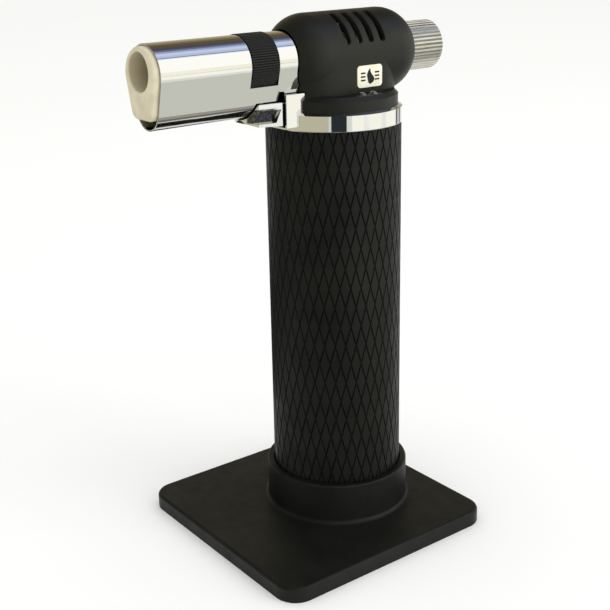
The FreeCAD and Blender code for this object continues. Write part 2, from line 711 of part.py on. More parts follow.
def flow_knob():
    length = KNOB_Y1 - KNOB_Y0
    knob = prism(fluted_outline(KNOB_R, KNOB_FLUTE_DEPTH, KNOB_FLUTES, KNOB_Y0), V(0, length, 0))
    c = KNOB_CHAMFER
    envelope = fuse(
        cyl_y(KNOB_R + 0.1, KNOB_Y0, KNOB_Y1 - c),
        cone_y(KNOB_R + 0.1, KNOB_R + 0.1 - c, KNOB_Y1 - c, KNOB_Y1),
    )
    knob = knob.common(envelope)
    knob = knob.cut(cyl_y(5.4, KNOB_Y1 - 0.5, KNOB_Y1 + 1))
    knob = knob.cut(cyl_y(SPINDLE_R, KNOB_Y0 - 1, 33.0))
    return knob.cut(cyl(1.25, (0, 28.0, AXIS_Z), (0, 28.0, AXIS_Z - KNOB_R - 1)))


def knob_grub_screw():
    screw = cyl(1.25, (0, 28.0, AXIS_Z - SPINDLE_R), (0, 28.0, AXIS_Z - KNOB_R + 0.8))
    socket = hex_prism_z(1.1, AXIS_Z - KNOB_R, AXIS_Z - KNOB_R + 2.2, 0, 28.0)
    flat = cyl_y(SPINDLE_R, 20, 33)
    return screw.cut(socket).cut(flat)


# ================================================================ burner
def jet_holder():
    holder = fuse(
        cyl_y(HOLDER_R, HOLDER_Y0, BARREL_Y0),
        cyl_y(TUBE_BORE_R, HOLDER_SEAT_Y0, PLATE_Y0),
        cyl_y(HOLDER_FLANGE_R, BARREL_Y0 - 1.5, BARREL_Y0),
        cyl_y(SPIGOT_R, BARREL_Y0, -4.0),
    )
    holder = holder.cut(cyl_y(0.8, HOLDER_Y0 - 1, -3.0))
    return holder.cut(cyl_y(1.6, HOLDER_Y0 - 1, -20.4))


def gas_jet():
    jet = cyl_y(1.6, JET_Y0, FILTER_Y0)
    jet = jet.makeChamfer(0.4, edges_at(jet, "Y", JET_Y0))
    jet = jet.cut(cyl_y(0.2, JET_Y0 - 1, FILTER_Y0))
    return jet.cut(cone_y(0.2, 1.0, JET_Y0 + 1.2, FILTER_Y0))


def jet_filter():
    return cyl_y(1.6, FILTER_Y0, -20.4)


def ports(reach):
    """Two radial air ports on the underside, at the mixing gap."""
    cutters = []
    for angle in PORT_ANGLES:
        x, h = polar(reach, angle)
        cutters.append(cyl(PORT_R, (0, PORT_Y, AXIS_Z), (x, PORT_Y, AXIS_Z + h)))
    return fuse(*cutters)


def burner_tube():
    tube = cyl_y(TUBE_R, TUBE_Y0, PLATE_Y0).cut(cyl_y(TUBE_BORE_R, TUBE_Y0 - 1, PLATE_Y0 + 1))
    return tube.cut(ports(7.0))


def flame_holder():
    disc = cyl_y(TUBE_BORE_R, TUBE_Y0 + 0.6, TUBE_Y0 + 2.6)
    disc = disc.cut(cyl_y(0.9, TUBE_Y0, TUBE_Y0 + 3))
    for k in range(8):
        x, h = polar(2.9, 45 * k)
        disc = disc.cut(cyl_y(0.6, TUBE_Y0, TUBE_Y0 + 3, x, AXIS_Z + h))
    return disc


def air_ring():
    outline = fluted_outline(RING_R, RING_RIB_DEPTH, RING_RIBS, RING_Y0)
    ring = prism(outline, V(0, RING_Y1 - RING_Y0, 0))
    ring = ring.cut(cyl_y(TUBE_R + RING_FIT, RING_Y0 - 1, RING_Y1 + 1))
    return ring.cut(ports(10.0))


def ring_retainers():
    washers = []
    for y0 in (RING_Y0 - 0.35 - RETAINER_T, RING_Y1 + 0.35):
        washer = cyl_y(RETAINER_R, y0, y0 + RETAINER_T)
        washers.append(washer.cut(cyl_y(TUBE_R, y0 - 1, y0 + 2)))
    return Part.makeCompound(washers)


def ceramic_nozzle():
    inset = SHROUD_WALL + CERAMIC_GAP
    block = teardrop(inset, CERAMIC_Y0, CERAMIC_Y1)
    flat_z = AXIS_Z - CERAMIC_FLAT_DROP
    block = block.cut(box(-9, 9, CERAMIC_Y0 - 1, CERAMIC_Y1 + 1, flat_z - 9, flat_z))
    corners = [e for e in edges_at(block, "Z", flat_z) if e.BoundBox.XLength < 0.01]
    block = block.makeFillet(CERAMIC_CORNER_R, corners)
    block = block.makeFillet(CERAMIC_EDGE_R, edges_at(block, "Y", CERAMIC_Y0))
    bore_z = AXIS_Z + BORE_RISE
    bore = cyl_y(BORE_R, CERAMIC_Y0 - 1, CERAMIC_Y1 + 1, 0, bore_z)
    block = block.cut(bore)
    mouth = [
        e for e in edges_at(block, "Y", CERAMIC_Y0)
        if abs(e.BoundBox.XLength - 2 * BORE_R) < 0.05
    ]
    block = block.makeFillet(0.5, mouth)
    channel = box(0.4, 2.6, CERAMIC_Y1 - 3.2, CERAMIC_Y1 + 1, flat_z - 1, AXIS_Z - 3.5)
    return block.cut(channel)


def nozzle_shroud():
    wall = teardrop(0, SHROUD_Y0, SHROUD_Y1)
    wall = wall.cut(teardrop(SHROUD_WALL, SHROUD_Y0 - 1, SHROUD_Y1 + 1))
    wall = wall.makeFillet(SHROUD_LIP_R, edges_at(wall, "Y", SHROUD_Y0))
    window = box(-10, 10, WINDOW_Y0, WINDOW_Y1, AXIS_Z - WINDOW_DROP, AXIS_Z + 12)
    top = AXIS_Z - UNDERCUT_DROP
    low = AXIS_Z - 16
    lean = UNDERCUT_SLOPE * (top - low)
    undercut = prism(
        [(-10, UNDERCUT_Y, top), (-10, UNDERCUT_Y - lean, low), (-10, -10, low), (-10, -10, top)],
        V(20, 0, 0),
    )
    rear = box(-10, 10, REAR_CUT_Y, -10, low, AXIS_Z - REAR_CUT_DROP)
    return wall.cut(window).cut(undercut).cut(rear)


def shroud_end_plate():
    plate = teardrop(SHROUD_WALL, PLATE_Y0, PLATE_Y0 + PLATE_END_T)
    plate = plate.cut(box(-9, 9, -20, -10, AXIS_Z - 20, AXIS_Z - REAR_CUT_DROP - 0.2))
    plate = plate.cut(cyl_y(HOLDER_R, -20, -10))
    return plate.cut(cyl_y(LEAD_R + 0.1, -20, -10, LEAD_X, AXIS_Z - LEAD_HIGH_DROP))


# ================================================================ ignition
def electrode_wire():
    low = AXIS_Z - LEAD_DROP
    front = CERAMIC_Y1 - 1.8
    points = [(LEAD_X - 1.5, -35.0, low), (LEAD_X - 1.5, front, low), (LEAD_X - 1.5, front, AXIS_Z - 3.0)]
    return bent_bar(WIRE_R, points, 1.0)


def electrode_insulator():
    x = LEAD_X - 1.5
    low = AXIS_Z - LEAD_DROP
    rod = cyl_y(INSULATOR_R, -45.5, -36.0, x, low)
    return rod.cut(cyl_y(WIRE_R, -46, -35, x, low))


def ignition_lead():
    x = LEAD_X
    low = AXIS_Z - LEAD_DROP
    high = AXIS_Z - LEAD_HIGH_DROP
    points = [
        (x - 1.5, -35.0, low),
        (x - 1.5, -32.0, low),
        (x, -28.0, low),
        (x, -23.9, low),
        (x, -21.9, high),
        (x, -9.6, high),
        (x, -9.6, PIEZO_Z1),
    ]
    return bent_bar(LEAD_R, points, 1.0)


def piezo_body():
    case = box(-PIEZO_HALF_W, PIEZO_HALF_W, PIEZO_Y0, PIEZO_Y1, PIEZO_Z0, PIEZO_Z1)
    along = [e for e in case.Edges if abs(e.BoundBox.YLength - (PIEZO_Y1 - PIEZO_Y0)) < 1e-6]
    case = case.makeFillet(0.6, along)
    w = PLUNGER_HALF_W + 0.08
    mid = (PIEZO_Z0 + PIEZO_Z1) / 2
    return case.cut(box(-w, w, PIEZO_Y0 - 1, PIEZO_Y1 - 0.8, mid - w, mid + w))


def piezo_plunger():
    mid = (PIEZO_Z0 + PIEZO_Z1) / 2
    w = PLUNGER_HALF_W
    return box(-w, w, TRIGGER_Y1, PLUNGER_Y1, mid - w, mid + w)


def piezo_spring():
    mid = (PIEZO_Z0 + PIEZO_Z1) / 2
    y0 = PLUNGER_Y1 + 0.35
    length = PIEZO_Y1 - 0.8 - 0.3 - y0
    return coil(1.5, 0.25, length, length / 7, (0, y0, mid), (X_AXIS, -90))


def trigger_side():
    """Side view of the trigger, nose at the left, extruded across its width."""
    corners = [
        (TRIGGER_Y1, TRIGGER_TOP_Z),
        (TRIGGER_SHOULDER_Y, TRIGGER_TOP_Z),
        (TRIGGER_NOSE_Y + 0.5, TRIGGER_TOP_Z - 3.6),
        (TRIGGER_NOSE_Y, TRIGGER_TOP_Z - 4.3),
        (TRIGGER_NOSE_Y + 0.3, TRIGGER_TOP_Z - 5.2),
        (TRIGGER_NOSE_Y + 2.2, TRIGGER_Z0 + 0.5),
        (TRIGGER_Y1, TRIGGER_Z0),
    ]
    w = TRIGGER_HALF_W + 1
    return prism([(-w, y, z) for y, z in corners], V(2 * w, 0, 0))


def trigger_plan():
    """Plan view of the trigger: straight flanks, a waist step and a round nose."""
    w, nose = TRIGGER_HALF_W, TRIGGER_NOSE_HALF_W
    z = TRIGGER_Z0 - 1
    height = V(0, 0, TRIGGER_TOP_Z - z + 1)
    rear = [V(nose, TRIGGER_SHOULDER_Y, z), V(w, TRIGGER_WAIST_Y, z), V(w, TRIGGER_Y1, z)]
    left = [V(-p.x, p.y, z) for p in reversed(rear)]
    runs = rear + left
    edges = [Part.LineSegment(a, b).toShape() for a, b in zip(runs, runs[1:])]
    edges.append(Part.Arc(left[-1], V(0, TRIGGER_NOSE_Y, z), rear[0]).toShape())
    return Part.Face(Part.Wire(edges)).extrude(height)


def finger_hook():
    """Hollow in the right flank: its floor slopes in towards a ledge that a finger hooks over."""
    outline = [
        (HOOK_Y0, HOOK_Z0),
        (HOOK_Y0 + HOOK_LENGTH, HOOK_Z0),
        (HOOK_Y0 + HOOK_LENGTH + HOOK_LEAN, HOOK_Z1),
        (HOOK_Y0 + HOOK_LEAN, HOOK_Z1),
    ]
    block = prism([(0, y, z) for y, z in outline], V(TRIGGER_HALF_W + 2, 0, 0))
    taper = (TRIGGER_HALF_W - TRIGGER_NOSE_HALF_W) / (TRIGGER_WAIST_Y - TRIGGER_SHOULDER_Y)
    x = TRIGGER_NOSE_HALF_W + taper * (HOOK_Y0 - 1 - TRIGGER_SHOULDER_Y)
    section = [(x, HOOK_Z1), (x - HOOK_DEPTH, HOOK_Z0), (x + 3, HOOK_Z0), (x + 3, HOOK_Z1)]
    run = HOOK_LENGTH + HOOK_LEAN + 2
    wedge = prism([(x, HOOK_Y0 - 1, z) for x, z in section], V(taper * run, run, 0))
    return block.common(wedge)


def trigger():
    shoe = trigger_side().common(trigger_plan())
    shoe = shoe.makeFillet(0.35, edges_at(shoe, "Z", TRIGGER_TOP_Z))
    hollow = finger_hook()
    return shoe.cut(hollow).cut(hollow.mirror(V(0, 0, 0), X_AXIS))


NODES = {
    "stand_base": stand_base,
    "grip_sleeve": grip_sleeve,
    "tank_shell": tank_shell,
    "tank_lid": tank_lid,
    "tank_lid_seal": tank_lid_seal,
    "filler_valve_body": filler_valve_body,
    "filler_seal": filler_seal,
    "filler_stem": filler_stem,
    "filler_spring": filler_spring,
    "wick_tube": wick_tube,
    "wick_filter": wick_filter,
    "collar_ring": collar_ring,
    "collar_screws": collar_screws,
    "hood": hood,
    "hood_screws": hood_screws,
    "label_plate": label_plate,
    "valve_body": valve_body,
    "valve_body_seal": valve_body_seal,
    "valve_nut": valve_nut,
    "valve_seat": valve_seat,
    "valve_needle": valve_needle,
    "valve_spindle": valve_spindle,
    "spindle_seal": spindle_seal,
    "gland_nut": gland_nut,
    "flow_knob": flow_knob,
    "knob_grub_screw": knob_grub_screw,
    "jet_holder": jet_holder,
    "gas_jet": gas_jet,
    "jet_filter": jet_filter,
    "burner_tube": burner_tube,
    "flame_holder": flame_holder,
    "air_ring": air_ring,
    "ring_retainers": ring_retainers,
    "ceramic_nozzle": ceramic_nozzle,
    "nozzle_shroud": nozzle_shroud,
    "shroud_end_plate": shroud_end_plate,
    "electrode_wire": electrode_wire,
    "electrode_insulator": electrode_insulator,
    "ignition_lead": ignition_lead,
    "piezo_body": piezo_body,
    "piezo_plunger": piezo_plunger,
    "piezo_spring": piezo_spring,
    "trigger": trigger,
}

os.makedirs("parts", exist_ok=True)
for name, make in NODES.items():
    shape = make()
    shape.exportStep("parts/" + name + ".step")
    print(name, "valid", shape.isValid(), "solids", len(shape.Solids), "volume %.1f" % shape.Volume)
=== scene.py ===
"""Looks for the bench butane torch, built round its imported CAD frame. Metres, +Z up."""

import math

import bmesh
import bpy
from mathutils import Matrix, Vector

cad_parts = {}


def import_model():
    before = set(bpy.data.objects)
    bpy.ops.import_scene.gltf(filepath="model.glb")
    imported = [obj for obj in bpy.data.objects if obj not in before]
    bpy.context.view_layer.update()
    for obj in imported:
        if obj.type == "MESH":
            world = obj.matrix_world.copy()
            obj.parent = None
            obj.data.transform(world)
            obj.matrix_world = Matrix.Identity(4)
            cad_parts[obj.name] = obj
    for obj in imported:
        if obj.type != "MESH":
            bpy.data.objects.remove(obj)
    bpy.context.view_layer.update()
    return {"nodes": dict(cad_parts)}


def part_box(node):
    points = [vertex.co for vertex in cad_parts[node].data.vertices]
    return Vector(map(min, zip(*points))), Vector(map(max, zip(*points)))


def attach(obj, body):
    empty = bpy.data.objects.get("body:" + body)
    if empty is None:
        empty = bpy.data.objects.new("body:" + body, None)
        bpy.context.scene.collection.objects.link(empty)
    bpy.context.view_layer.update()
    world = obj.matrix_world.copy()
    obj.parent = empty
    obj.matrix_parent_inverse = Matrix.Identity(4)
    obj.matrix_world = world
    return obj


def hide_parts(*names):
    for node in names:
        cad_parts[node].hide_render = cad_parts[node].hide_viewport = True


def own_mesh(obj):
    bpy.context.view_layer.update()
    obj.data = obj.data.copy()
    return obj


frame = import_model()
NODES = frame["nodes"]
MM = 0.001
WELD = 1e-7
scene = bpy.context.scene

# Lengths below are in millimetres, up to the floor, lights and camera.
# Grip: crossing grooves between diamond pads. Each groove falls off with its share of a pad's side.
GRIP_R = 19.0
GRIP_WALL = 1.2
GRIP_STARTS = 40
GRIP_PHASE = 0.0235
GRIP_RISE = 2.7
DIAMOND_H = 11.2
GROOVE_DEPTH = 0.32
GROOVE_FALL = ((0.0, 1.0), (0.024, 0.93), (0.05, 0.5), (0.08, 0.0), (0.36, 0.0))

# Hollows in the trigger's sides, and how deep below the flank their painted shade starts and is full.
HOLLOW_Y = (-31.0, -23.5)
HOLLOW_Z = (122.5, 126.3)
HOLLOW_EDGE = 0.2
HOLLOW_SHALLOW = 0.15
HOLLOW_DEEP = 0.45

# Relief on the label. A smaller FLAME_BELLY puts the flame's widest point lower.
FLAME_W = 2.3
FLAME_H = 4.2
FLAME_STEPS = 14
FLAME_BELLY = 0.62
FLAME_SWAY = 0.35
BAR_REACH = (1.65, 3.2)
BAR_HALF_H = 0.2
BAR_PITCH = 0.95
RELIEF = 0.15
RELIEF_SUNK = 0.03
RELIEF_DRAFT = 0.04

# Pips: places on the ledge, crown and skirt.
LEDGE_Z = 128.1
PIPS = {"front_pip": (14.4, -1.6), "rear_pip": (14.6, 2.1)}
PIP_R = 1.0
PIP_H = 0.62
PIP_SKIRT_R = 1.25
PIP_SKIRT_H = 0.1
PIP_SUNK = 0.3
PIP_FACETS = 32
PIP_STEPS = 10

# Return springs: wire and how finely it is cut up.
WIRE_R = 0.25
WIRE_STEPS = 24
WIRE_SIDES = 8

CHROME_TINT = (0.58, 0.58, 0.555, 1)


# ------------------------------------------------------------------ shader helpers
def srgb(r, g, b):
    """Linear RGBA of an 8-bit display colour."""
    def lin(c):
        c /= 255
        return c / 12.92 if c <= 0.04045 else ((c + 0.055) / 1.055) ** 2.4
    return lin(r), lin(g), lin(b), 1.0


class Shade:
    """One procedural material: a Principled shader and the nodes that feed it."""

    def __init__(self, name, colour, roughness, metallic=0.0, specular=0.5):
        self.mat = bpy.data.materials.new(name)
        self.mat.use_nodes = True
        self.tree = self.mat.node_tree
        self.bsdf = self.tree.nodes["Principled BSDF"]
        self.bsdf.inputs["Base Color"].default_value = colour
        self.bsdf.inputs["Roughness"].default_value = roughness
        self.bsdf.inputs["Metallic"].default_value = metallic
        self.bsdf.inputs["Specular IOR Level"].default_value = specular
        self.coord = self.node("ShaderNodeTexCoord").outputs["Object"]

    def node(self, kind, **props):
        n = self.tree.nodes.new(kind)
        for key, value in props.items():
            setattr(n, key, value)
        return n

    def feed(self, socket, value):
        if isinstance(value, bpy.types.NodeSocket):
            self.tree.links.new(value, socket)
        else:
            socket.default_value = value

    def math(self, operation, a, b=0.0):
        n = self.node("ShaderNodeMath", operation=operation)
        for socket, value in zip(n.inputs, (a, b)):
            self.feed(socket, value)
        return n.outputs[0]

    def stretched(self, x, y, z):
        n = self.node("ShaderNodeVectorMath", operation="MULTIPLY")
        self.feed(n.inputs[0], self.coord)
        n.inputs[1].default_value = (x, y, z)
        return n.outputs[0]

    def noise(self, size_mm, detail=3.0, rough=0.55, stretch=None, distort=0.0):
        """Fractal noise whose largest blobs are about size_mm across."""
        n = self.node("ShaderNodeTexNoise")
        self.feed(n.inputs["Vector"], self.stretched(*stretch) if stretch else self.coord)
        n.inputs["Scale"].default_value = 1.0 / (size_mm * MM)
        n.inputs["Detail"].default_value = detail
        n.inputs["Roughness"].default_value = rough
        n.inputs["Distortion"].default_value = distort
        return n.outputs["Fac"]

    def cells(self, size_mm):
        """Distance to the nearest of many scattered points about size_mm apart."""
        n = self.node("ShaderNodeTexVoronoi")
        self.feed(n.inputs["Vector"], self.coord)
        n.inputs["Scale"].default_value = 1.0 / (size_mm * MM)
        return n.outputs["Distance"]

    def ramp(self, fac, *stops):
        """Colour by fac. Each stop is (position, colour or grey)."""
        n = self.node("ShaderNodeValToRGB")
        self.feed(n.inputs[0], fac)
        points = n.color_ramp.elements
        while len(points) < len(stops):
            points.new(0.5)
        for point, (at, colour) in zip(points, stops):
            point.position = at
            point.color = colour if isinstance(colour, tuple) else (colour, colour, colour, 1)
        return n.outputs["Color"]

    def span(self, fac, low, high, to_low=0.0, to_high=1.0):
        """Clamped linear map of fac from low..high to to_low..to_high."""
        n = self.node("ShaderNodeMapRange")
        for socket, value in zip(n.inputs, (fac, low, high, to_low, to_high)):
            self.feed(socket, value)
        return n.outputs[0]

    def mix(self, fac, a, b):
        n = self.node("ShaderNodeMix", data_type="RGBA")
        self.feed(n.inputs["Factor"], fac)
        self.feed(n.inputs[6], a)
        self.feed(n.inputs[7], b)
        return n.outputs[2]

    def axis(self, which):
        n = self.node("ShaderNodeSeparateXYZ")
        self.feed(n.inputs[0], self.coord)
        return n.outputs[which]

    def colour(self, value):
        self.feed(self.bsdf.inputs["Base Color"], value)

    def roughness(self, value):
        self.feed(self.bsdf.inputs["Roughness"], value)

    def bump(self, height, depth_mm):
        n = self.node("ShaderNodeBump")
        self.feed(n.inputs["Height"], height)
        n.inputs["Distance"].default_value = depth_mm * MM
        old = self.bsdf.inputs["Normal"]
        if old.is_linked:
            self.tree.links.new(old.links[0].from_socket, n.inputs["Normal"])
        self.tree.links.new(n.outputs[0], old)

    def coat(self, weight, roughness):
        self.bsdf.inputs["Coat Weight"].default_value = weight
        self.bsdf.inputs["Coat Roughness"].default_value = roughness


# ------------------------------------------------------------------ materials
def moulded(name, dark, light, roughness, grain_mm=0.35, grain_depth=0.02, specular=0.5):
    """Moulded plastic: faint cloudiness, fine spark-eroded grain, hairline scuffs and specks of dust."""
    s = Shade(name, dark, roughness, specular=specular)
    cloud = s.noise(14, 3)
    tone = s.mix(s.span(cloud, 0.35, 0.7), dark, light)
    scuff = s.ramp(s.noise(1.1, 2, stretch=(1, 5, 0.35)), (0.70, 0.0), (0.78, 1.0))
    dust = s.ramp(s.noise(0.45, 1), (0.78, 0.0), (0.83, 1.0))
    marks = s.math("MAXIMUM", s.math("MULTIPLY", scuff, 0.25), s.math("MULTIPLY", dust, 0.45))
    s.colour(s.mix(marks, tone, tuple(min(1.0, 2.6 * c + 0.01) for c in light[:3]) + (1.0,)))
    s.roughness(s.span(s.noise(5, 4), 0.3, 0.7, roughness - 0.06, roughness + 0.08))
    s.bump(s.noise(grain_mm, 3, 0.6), grain_depth)
    return s


def plated(name, tint, low, high):
    """Bright chrome plate: faint ripple, polishing hairlines and a few finger smears in the gloss."""
    s = Shade(name, tint, low, metallic=1.0)
    smear = s.ramp(s.noise(7, 4, 0.6, distort=0.8), (0.48, 0.0), (0.72, 1.0))
    lines = s.ramp(s.noise(0.5, 2, stretch=(1, 0.04, 1)), (0.55, 0.0), (0.8, 1.0))
    worn = s.math("ADD", s.math("MULTIPLY", smear, 0.7), s.math("MULTIPLY", lines, 0.3))
    s.roughness(s.span(worn, 0.0, 1.0, low, high))
    s.bump(s.noise(9, 2, 0.5), 0.022)
    return s


def trigger_shade():
    """Chrome with painted shade inside the hollows of the trigger's sides, where it is also duller."""
    s = plated("trigger_chrome_painted_shade", CHROME_TINT, 0.03, 0.11)
    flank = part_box("trigger")[1].x
    x, y, z = s.math("ABSOLUTE", s.axis(0)), s.axis(1), s.axis(2)
    painted_hollow_shade = s.span(x, flank - HOLLOW_DEEP * MM, flank - HOLLOW_SHALLOW * MM, 1.0, 0.0)
    for along, (start, end) in ((y, HOLLOW_Y), (z, HOLLOW_Z)):
        rise = s.span(along, start * MM, (start + HOLLOW_EDGE) * MM)
        fall = s.span(along, (end - HOLLOW_EDGE) * MM, end * MM, 1.0, 0.0)
        painted_hollow_shade = s.math("MULTIPLY", s.math("MULTIPLY", painted_hollow_shade, rise), fall)
    # Noise breaks up the painted shade a little.
    painted_shade_mottle = s.span(s.noise(0.8, 4), 0.3, 0.7, 0.75, 1.0)
    painted_hollow_shade = s.math("MULTIPLY", painted_hollow_shade, painted_shade_mottle)
    # Painted shade: the hollows' base colour turns near black.
    s.colour(s.mix(painted_hollow_shade, CHROME_TINT, (0.035, 0.035, 0.035, 1)))
    smooth = s.bsdf.inputs["Roughness"].links[0].from_socket
    s.roughness(s.math("ADD", smooth, s.math("MULTIPLY", painted_hollow_shade, 0.25)))
    return s


def turned(name, tint, roughness, lay=(1, 0.05, 1)):
    """Machined or drawn metal with its lay along one axis."""
    s = Shade(name, tint, roughness, metallic=1.0)
    lines = s.noise(0.35, 3, stretch=lay)
    shadow = tuple(c * 0.75 for c in tint[:3]) + (1.0,)
    s.colour(s.mix(s.span(lines, 0.3, 0.7), shadow, tint))
    s.roughness(s.span(s.noise(2.5, 3), 0.3, 0.7, roughness - 0.05, roughness + 0.1))
    s.bump(lines, 0.008)
    return s


def grip_shade():
    """Black moulded sleeve: painted shade darkens the grooves, which are also duller than the slightly
    polished pads.
    """
    s = moulded("grip_plastic", srgb(18, 19, 16), srgb(26, 26, 22), 0.46, 0.4, 0.012, specular=0.15)
    x, y = s.axis(0), s.axis(1)
    radius = s.math("SQRT", s.math("ADD", s.math("MULTIPLY", x, x), s.math("MULTIPLY", y, y)))
    groove_shade_and_dullness = s.span(radius, (GRIP_R - GROOVE_DEPTH) * MM, (GRIP_R - 0.05) * MM, 1.0, 0.0)
    base = s.bsdf.inputs["Base Color"].links[0].from_socket
    # Painted shade: the grooves' colour is pulled towards near black.
    s.colour(s.mix(s.math("MULTIPLY", groove_shade_and_dullness, 0.7), base, srgb(10, 10, 9)))
    rough = s.bsdf.inputs["Roughness"].links[0].from_socket
    s.roughness(s.math("ADD", rough, s.math("MULTIPLY", groove_shade_and_dullness, 0.2)))
    return s


def ceramic_shade():
    """Unglazed cream ceramic: chalky mottling, dark specks, a bore whose colour darkens further in."""
    s = Shade("ceramic", srgb(206, 198, 172), 0.55, specular=0.4)
    body = s.mix(s.span(s.noise(3.5, 4), 0.3, 0.7), srgb(196, 187, 158), srgb(214, 206, 180))
    specks = s.ramp(s.cells(0.55), (0.0, 1.0), (0.10, 0.0))
    picked = s.math("MULTIPLY", specks, s.ramp(s.noise(1.4, 1), (0.60, 0.0), (0.66, 1.0)))
    body = s.mix(s.math("MULTIPLY", picked, 0.6), body, srgb(120, 100, 70))
    bore_z = sum(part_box("burner_tube")[i].z for i in (0, 1)) / 2 + 0.8 * MM
    x, z = s.axis(0), s.math("SUBTRACT", s.axis(2), bore_z)
    radius = s.math("SQRT", s.math("ADD", s.math("MULTIPLY", x, x), s.math("MULTIPLY", z, z)))
    in_bore = s.span(radius, 4.9 * MM, 5.1 * MM, 1.0, 0.0)
    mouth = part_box("ceramic_nozzle")[0].y
    # The bore's colour darkens from its mouth inwards.
    depth = s.span(s.axis(1), mouth + 0.4 * MM, mouth + 9 * MM, 0.12, 1.0)
    bore_depth_tone = s.mix(depth, srgb(204, 192, 162), srgb(162, 149, 121))
    s.colour(s.mix(s.math("MULTIPLY", in_bore, 0.9), body, bore_depth_tone))
    s.roughness(s.span(s.noise(1.2, 3), 0.3, 0.7, 0.45, 0.65))
    s.bump(s.noise(0.5, 4, 0.65), 0.03)
    return s


def rubbery(name, tone, roughness):
    s = Shade(name, tone, roughness, specular=0.3)
    s.colour(s.mix(s.span(s.noise(2, 4), 0.3, 0.7), tone, tuple(1.5 * c for c in tone[:3]) + (1.0,)))
    s.bump(s.noise(0.4, 3), 0.015)
    return s


def glossy_pip():
    """Black plastic polished smooth on its crown, with a trace of dust."""
    s = Shade("pip_plastic", srgb(30, 30, 29), 0.12, specular=1.0)
    s.colour(s.mix(s.span(s.noise(0.6, 3), 0.4, 0.7), srgb(26, 26, 25), srgb(40, 40, 38)))
    s.roughness(s.span(s.noise(0.4, 3), 0.3, 0.7, 0.08, 0.2))
    s.bump(s.noise(0.5, 2), 0.004)
    s.coat(1.0, 0.05)
    return s


def label_shade():
    """Cream enamel plate with a slightly worn, yellowed face."""
    s = Shade("label_enamel", srgb(232, 228, 205), 0.35)
    s.colour(s.mix(s.span(s.noise(3, 4), 0.35, 0.7), srgb(224, 218, 192), srgb(238, 236, 218)))
    s.roughness(s.span(s.noise(0.8, 3), 0.3, 0.7, 0.28, 0.45))
    s.bump(s.noise(0.35, 3), 0.012)
    s.coat(0.4, 0.15)
    return s


SHADES = {
    "stand_plastic": moulded("stand_plastic", srgb(19, 20, 17), srgb(26, 27, 23), 0.45, 0.5, 0.02, 0.16),
    "grip_plastic": grip_shade(),
    "tank_plastic": moulded("tank_plastic", srgb(36, 36, 34), srgb(46, 46, 44), 0.5),
    "hood_plastic": moulded("hood_plastic", srgb(25, 25, 20), srgb(33, 33, 26), 0.42, 0.35, 0.015, 0.18),
    "ring_plastic": moulded("ring_plastic", srgb(22, 22, 20), srgb(29, 29, 26), 0.42, 0.3, 0.01, 0.18),
    "piezo_plastic": moulded("piezo_plastic", srgb(150, 38, 30), srgb(172, 50, 40), 0.4),
    "chrome": plated("chrome", CHROME_TINT, 0.03, 0.11),
    "trigger_chrome_painted_shade": trigger_shade(),
    "brass": turned("brass", (0.46, 0.33, 0.15, 1), 0.45),
    "spring_steel": turned("spring_steel", (0.60, 0.60, 0.60, 1), 0.3),
    "screw_steel": turned("screw_steel", (0.50, 0.50, 0.50, 1), 0.32, (1, 1, 0.05)),
    "sintered_bronze": turned("sintered_bronze", (0.52, 0.36, 0.20, 1), 0.55, (1, 1, 1)),
    "knob_metal": turned("knob_metal", (0.52, 0.51, 0.46, 1), 0.33),
    "pip_plastic": glossy_pip(),
    "seal_rubber": rubbery("seal_rubber", srgb(26, 26, 26), 0.6),
    "lead_insulation": rubbery("lead_insulation", srgb(40, 36, 34), 0.45),
    "ceramic": ceramic_shade(),
    "label_enamel": label_shade(),
}
for name, node in NODES.items():
    slot_name = "trigger_chrome_painted_shade" if name == "trigger" else node.data.materials[0].name.split(".")[0]
    node.material_slots[0].material = SHADES[slot_name].mat


# ------------------------------------------------------------------ pieces
def add(name, data):
    obj = bpy.data.objects.new(name, data)
    scene.collection.objects.link(obj)
    return obj


def piece(name, bm, shade, body, *replaced, smooth=40, slot=None):
    """Turns a bmesh into a piece that rides on a body and stands for CAD nodes."""
    bmesh.ops.remove_doubles(bm, verts=bm.verts, dist=WELD)
    bmesh.ops.recalc_face_normals(bm, faces=bm.faces)
    mesh = bpy.data.meshes.new(name)
    bm.to_mesh(mesh)
    bm.free()
    for polygon in mesh.polygons:
        polygon.use_smooth = True
    mesh.set_sharp_from_angle(angle=math.radians(smooth))
    mesh.materials.append(SHADES[shade].mat)
    obj = add(name, mesh)
    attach(obj, body)
    if replaced:
        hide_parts(*replaced)
    return obj


def loft(bm, rings):
    """Joins rings of vertices into a skin with a cap at each end."""
    for low, high in zip(rings, rings[1:]):
        for k in range(len(low)):
            j = (k + 1) % len(low)
            bm.faces.new((low[k], low[j], high[j], high[k]))
    bm.faces.new(rings[0])
    bm.faces.new(rings[-1])


